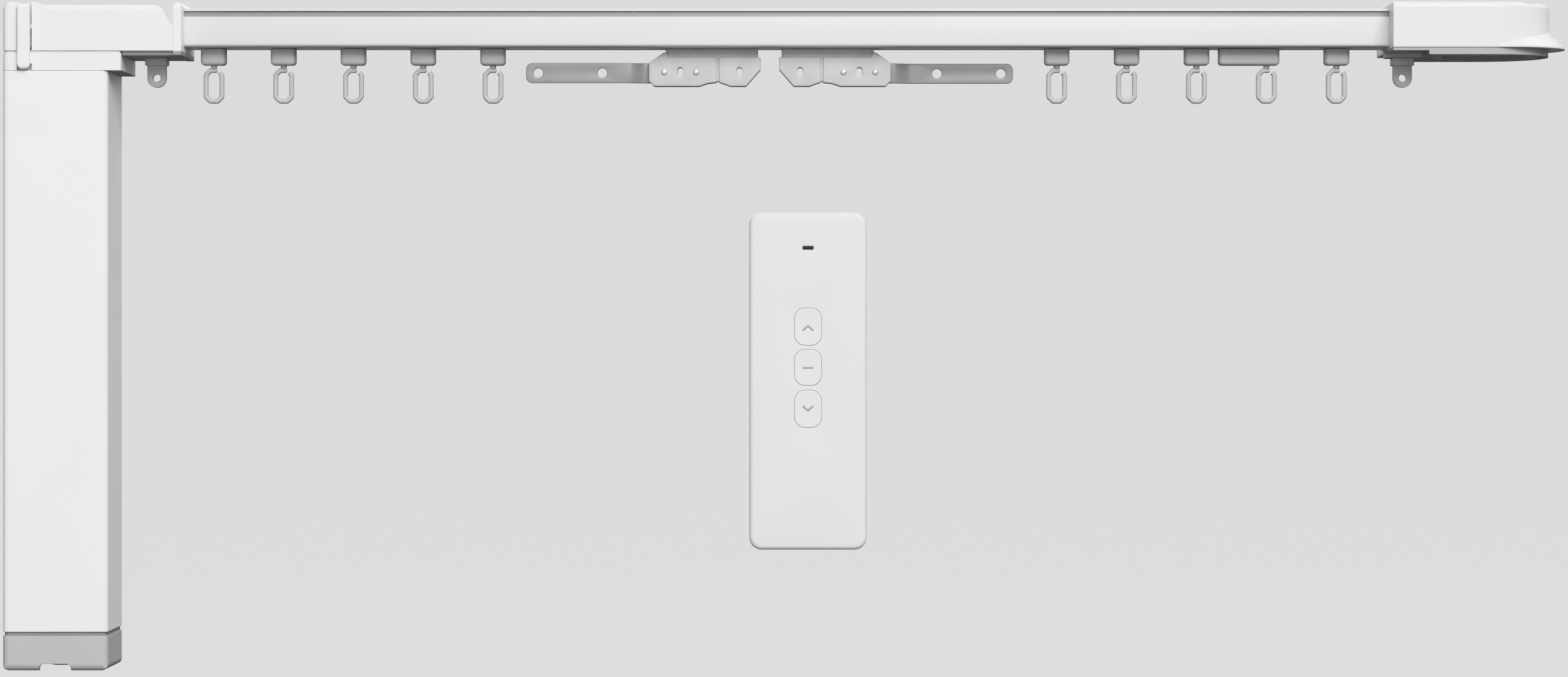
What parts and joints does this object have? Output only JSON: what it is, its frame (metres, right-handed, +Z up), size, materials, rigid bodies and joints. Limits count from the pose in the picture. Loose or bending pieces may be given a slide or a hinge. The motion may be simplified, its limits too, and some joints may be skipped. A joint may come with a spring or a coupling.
{
  "type": "electric curtain track",
  "caption": "Motorised curtain track: straight rail with a belt drive, upright motor at one end, idler drum at the other, split-opening master carriers, runners with swivel eyes, and a remote.",
  "frame": {"origin": "middle of the rail's top face", "axes": "+X along the rail from the motor towards the idler, -Y towards the room, +Z up"},
  "size_m": [0.746, 0.0628, 0.3176],
  "materials": {
    "rail_white": "satin powder coat",
    "white_plastic": "satin moulding",
    "motor_white": "satin powder coat",
    "base_grey": "moulded",
    "cap_grey": "fine texture",
    "dark_steel": "dark plated",
    "board_green": "solder mask",
    "black_rubber": "matt",
    "bare_steel": "turned",
    "gear_brass": "cut teeth",
    "pulley_white": "moulded acetal",
    "carrier_grey": "moulded nylon",
    "arm_steel": "zinc plated",
    "wheel_white": "moulded acetal",
    "runner_grey": "moulded nylon",
    "hook_grey": "moulded nylon",
    "remote_white": "satin moulding",
    "button_white": "soft touch",
    "lens_dark": "polished"
  },
  "bodies": {
    "track": {"rail": "rail_white", "head_cover": "white_plastic", "head_base": "base_grey", "motor_case": "motor_white", "motor_top_cap": "white_plastic", "motor_end_cap": "cap_grey", "motor_can": "dark_steel", "ring_gear": "dark_steel", "control_board": "board_green", "cable_gland": "black_rubber", "belt": "black_rubber", "pulley_bearings": "bare_steel", "idler_cover": "white_plastic", "idler_base": "base_grey", "idler_axle": "bare_steel", "end_hooks": "hook_grey", "cover_screws": "bare_steel"},
    "latch": {"motor_latch": "white_plastic"},
    "drive": {"drive_pulley": "pulley_white", "planet_carrier": "bare_steel"},
    "rotor": {"rotor_shaft": "bare_steel"},
    "planet_1": {"planet_gear_1": "gear_brass"},
    "planet_2": {"planet_gear_2": "gear_brass"},
    "planet_3": {"planet_gear_3": "gear_brass"},
    "idler": {"idler_pulley": "pulley_white"},
    "carrier_left": {"carrier_left_body": "carrier_grey", "carrier_left_arm": "arm_steel"},
    "carrier_left_wheelset_1": {"carrier_left_wheels_1": "wheel_white"},
    "carrier_left_wheelset_2": {"carrier_left_wheels_2": "wheel_white"},
    "runner_left_1_body": {"runner_left_1": "runner_grey"},
    "eye_left_1": {"runner_left_1_eye": "runner_grey"},
    "runner_left_2_body": {"runner_left_2": "runner_grey"},
    "eye_left_2": {"runner_left_2_eye": "runner_grey"},
    "runner_left_3_body": {"runner_left_3": "runner_grey"},
    "eye_left_3": {"runner_left_3_eye": "runner_grey"},
    "runner_left_4_body": {"runner_left_4": "runner_grey"},
    "eye_left_4": {"runner_left_4_eye": "runner_grey"},
    "runner_left_5_body": {"runner_left_5": "runner_grey"},
    "eye_left_5": {"runner_left_5_eye": "runner_grey"},
    "carrier_right": {"carrier_right_body": "carrier_grey", "carrier_right_arm": "arm_steel"},
    "carrier_right_wheelset_1": {"carrier_right_wheels_1": "wheel_white"},
    "carrier_right_wheelset_2": {"carrier_right_wheels_2": "wheel_white"},
    "runner_right_1_body": {"runner_right_1": "runner_grey"},
    "eye_right_1": {"runner_right_1_eye": "runner_grey"},
    "runner_right_2_body": {"runner_right_2": "runner_grey"},
    "eye_right_2": {"runner_right_2_eye": "runner_grey"},
    "runner_right_3_body": {"runner_right_3": "runner_grey"},
    "eye_right_3": {"runner_right_3_eye": "runner_grey"},
    "runner_right_4_body": {"runner_right_4": "runner_grey"},
    "eye_right_4": {"runner_right_4_eye": "runner_grey"},
    "runner_right_5_body": {"runner_right_5": "runner_grey"},
    "eye_right_5": {"runner_right_5_eye": "runner_grey"},
    "remote": {"remote_back": "remote_white", "remote_front": "remote_white", "remote_board": "board_green", "remote_indicator": "lens_dark"},
    "key_up": {"button_up": "button_white"},
    "key_stop": {"button_stop": "button_white"},
    "key_down": {"button_down": "button_white"}
  },
  "joints": [
    {"name": "drive_spin", "type": "hinge", "parent": "track", "child": "drive", "pos_m": [-0.3475, 0, 0], "axis": [0, 0, -1], "range_deg": [0, 428.68]},
    {"name": "rotor_spin", "type": "hinge", "parent": "track", "child": "rotor", "pos_m": [-0.3475, 0, 0], "axis": [0, 0, -1], "range_deg": [0, 1929.55]},
    {"name": "planet_1_spin", "type": "hinge", "parent": "drive", "child": "planet_1", "pos_m": [-0.33805, 0, 0], "axis": [0, 0, -1], "range_deg": [-1200.8, 0]},
    {"name": "planet_2_spin", "type": "hinge", "parent": "drive", "child": "planet_2", "pos_m": [-0.35223, 0.00818, 0], "axis": [0, 0, -1], "range_deg": [-1200.8, 0]},
    {"name": "planet_3_spin", "type": "hinge", "parent": "drive", "child": "planet_3", "pos_m": [-0.35223, -0.00818, 0], "axis": [0, 0, -1], "range_deg": [-1200.8, 0]},
    {"name": "idler_spin", "type": "hinge", "parent": "track", "child": "idler", "pos_m": [0.335, 0, 0], "axis": [0, 0, -1], "range_deg": [0, 429.18]},
    {"name": "carrier_left_slide", "type": "slide", "parent": "track", "child": "carrier_left", "axis": [-1, 0, 0], "range_m": [0, 0.0905]},
    {"name": "carrier_left_wheelset_1_roll", "type": "hinge", "parent": "carrier_left", "child": "carrier_left_wheelset_1", "pos_m": [-0.02195, 0, -0.0126], "axis": [0, -1, 0], "range_deg": [0, 1432.89]},
    {"name": "carrier_left_wheelset_2_roll", "type": "hinge", "parent": "carrier_left", "child": "carrier_left_wheelset_2", "pos_m": [-0.04945, 0, -0.0126], "axis": [0, -1, 0], "range_deg": [0, 1432.89]},
    {"name": "runner_left_1_slide", "type": "slide", "parent": "track", "child": "runner_left_1_body", "axis": [-1, 0, 0], "range_m": [0, 0.08375]},
    {"name": "eye_left_1_swivel", "type": "hinge", "parent": "runner_left_1_body", "child": "eye_left_1", "pos_m": [-0.14095, 0, -0.0262], "axis": [0, 0, 1], "continuous": true},
    {"name": "runner_left_2_slide", "type": "slide", "parent": "track", "child": "runner_left_2_body", "axis": [-1, 0, 0], "range_m": [0, 0.06424]},
    {"name": "eye_left_2_swivel", "type": "hinge", "parent": "runner_left_2_body", "child": "eye_left_2", "pos_m": [-0.17446, 0, -0.0262], "axis": [0, 0, 1], "continuous": true},
    {"name": "runner_left_3_slide", "type": "slide", "parent": "track", "child": "runner_left_3_body", "axis": [-1, 0, 0], "range_m": [0, 0.04473]},
    {"name": "eye_left_3_swivel", "type": "hinge", "parent": "runner_left_3_body", "child": "eye_left_3", "pos_m": [-0.20797, 0, -0.0262], "axis": [0, 0, 1], "continuous": true},
    {"name": "runner_left_4_slide", "type": "slide", "parent": "track", "child": "runner_left_4_body", "axis": [-1, 0, 0], "range_m": [0, 0.02521]},
    {"name": "eye_left_4_swivel", "type": "hinge", "parent": "runner_left_4_body", "child": "eye_left_4", "pos_m": [-0.24149, 0, -0.0262], "axis": [0, 0, 1], "continuous": true},
    {"name": "runner_left_5_slide", "type": "slide", "parent": "track", "child": "runner_left_5_body", "axis": [-1, 0, 0], "range_m": [0, 0.0057]},
    {"name": "eye_left_5_swivel", "type": "hinge", "parent": "runner_left_5_body", "child": "eye_left_5", "pos_m": [-0.275, 0, -0.0262], "axis": [0, 0, 1], "continuous": true},
    {"name": "carrier_right_slide", "type": "slide", "parent": "track", "child": "carrier_right", "axis": [1, 0, 0], "range_m": [0, 0.0905]},
    {"name": "carrier_right_wheelset_1_roll", "type": "hinge", "parent": "carrier_right", "child": "carrier_right_wheelset_1", "pos_m": [0.00595, 0, -0.0126], "axis": [0, 1, 0], "range_deg": [0, 1432.89]},
    {"name": "carrier_right_wheelset_2_roll", "type": "hinge", "parent": "carrier_right", "child": "carrier_right_wheelset_2", "pos_m": [0.03345, 0, -0.0126], "axis": [0, 1, 0], "range_deg": [0, 1432.89]},
    {"name": "runner_right_1_slide", "type": "slide", "parent": "track", "child": "runner_right_1_body", "axis": [1, 0, 0], "range_m": [0, 0.07865]},
    {"name": "eye_right_1_swivel", "type": "hinge", "parent": "runner_right_1_body", "child": "eye_right_1", "pos_m": [0.12975, 0, -0.0262], "axis": [0, 0, 1], "continuous": true},
    {"name": "runner_right_2_slide", "type": "slide", "parent": "track", "child": "runner_right_2_body", "axis": [1, 0, 0], "range_m": [0, 0.05906]},
    {"name": "eye_right_2_swivel", "type": "hinge", "parent": "runner_right_2_body", "child": "eye_right_2", "pos_m": [0.16334, 0, -0.0262], "axis": [0, 0, 1], "continuous": true},
    {"name": "runner_right_3_slide", "type": "slide", "parent": "track", "child": "runner_right_3_body", "axis": [1, 0, 0], "range_m": [0, 0.03948]},
    {"name": "eye_right_3_swivel", "type": "hinge", "parent": "runner_right_3_body", "child": "eye_right_3", "pos_m": [0.19692, 0, -0.0262], "axis": [0, 0, 1], "continuous": true},
    {"name": "runner_right_4_slide", "type": "slide", "parent": "track", "child": "runner_right_4_body", "axis": [1, 0, 0], "range_m": [0, 0.03609]},
    {"name": "eye_right_4_swivel", "type": "hinge", "parent": "runner_right_4_body", "child": "eye_right_4", "pos_m": [0.23051, 0, -0.0262], "axis": [0, 0, 1], "continuous": true},
    {"name": "runner_right_5_slide", "type": "slide", "parent": "track", "child": "runner_right_5_body", "axis": [1, 0, 0], "range_m": [0, 0.0165]},
    {"name": "eye_right_5_swivel", "type": "hinge", "parent": "runner_right_5_body", "child": "eye_right_5", "pos_m": [0.2641, 0, -0.0262], "axis": [0, 0, 1], "continuous": true},
    {"name": "latch_tilt", "type": "hinge", "parent": "track", "child": "latch", "pos_m": [-0.362, -0.0228, -0.009], "axis": [1, 0, 0], "range_deg": [-10, 0], "stiffness_Nm_per_rad": 0.08},
    {"name": "remote_lift", "type": "slide", "parent": "track", "child": "remote", "axis": [0, -1, 0], "range_m": [0, 0.15]},
    {"name": "key_up_press", "type": "slide", "parent": "remote", "child": "key_up", "axis": [0, 1, 0], "range_m": [0, 0.0006], "stiffness_N_per_m": 400},
    {"name": "key_stop_press", "type": "slide", "parent": "remote", "child": "key_stop", "axis": [0, 1, 0], "range_m": [0, 0.0006], "stiffness_N_per_m": 400},
    {"name": "key_down_press", "type": "slide", "parent": "remote", "child": "key_down", "axis": [0, 1, 0], "range_m": [0, 0.0006], "stiffness_N_per_m": 400}
  ],
  "couplings": [
    {"joint": "rotor_spin", "follows": "drive_spin", "ratio": 4.5},
    {"joint": "planet_1_spin", "follows": "drive_spin", "ratio": -2.8},
    {"joint": "planet_2_spin", "follows": "drive_spin", "ratio": -2.8},
    {"joint": "planet_3_spin", "follows": "drive_spin", "ratio": -2.8},
    {"joint": "idler_spin", "follows": "drive_spin", "ratio": 1},
    {"joint": "carrier_left_slide", "follows": "drive_spin", "m_per_rad": 0.012029},
    {"joint": "carrier_left_wheelset_1_roll", "follows": "drive_spin", "ratio": 3.3414},
    {"joint": "carrier_left_wheelset_2_roll", "follows": "drive_spin", "ratio": 3.3414},
    {"joint": "runner_left_1_slide", "follows": "drive_spin", "m_per_rad": 0.011167},
    {"joint": "runner_left_2_slide", "follows": "drive_spin", "m_per_rad": 0.0085591},
    {"joint": "runner_left_3_slide", "follows": "drive_spin", "m_per_rad": 0.0059511},
    {"joint": "runner_left_4_slide", "follows": "drive_spin", "m_per_rad": 0.0033431},
    {"joint": "runner_left_5_slide", "follows": "drive_spin", "m_per_rad": 0.0007351},
    {"joint": "carrier_right_slide", "follows": "drive_spin", "m_per_rad": 0.012029},
    {"joint": "carrier_right_wheelset_1_roll", "follows": "drive_spin", "ratio": 3.3414},
    {"joint": "carrier_right_wheelset_2_roll", "follows": "drive_spin", "ratio": 3.3414},
    {"joint": "runner_right_1_slide", "follows": "drive_spin", "m_per_rad": 0.010485},
    {"joint": "runner_right_2_slide", "follows": "drive_spin", "m_per_rad": 0.0078674},
    {"joint": "runner_right_3_slide", "follows": "drive_spin", "m_per_rad": 0.0052494},
    {"joint": "runner_right_4_slide", "follows": "drive_spin", "m_per_rad": 0.0047966},
    {"joint": "runner_right_5_slide", "follows": "drive_spin", "m_per_rad": 0.0021786}
  ]
}
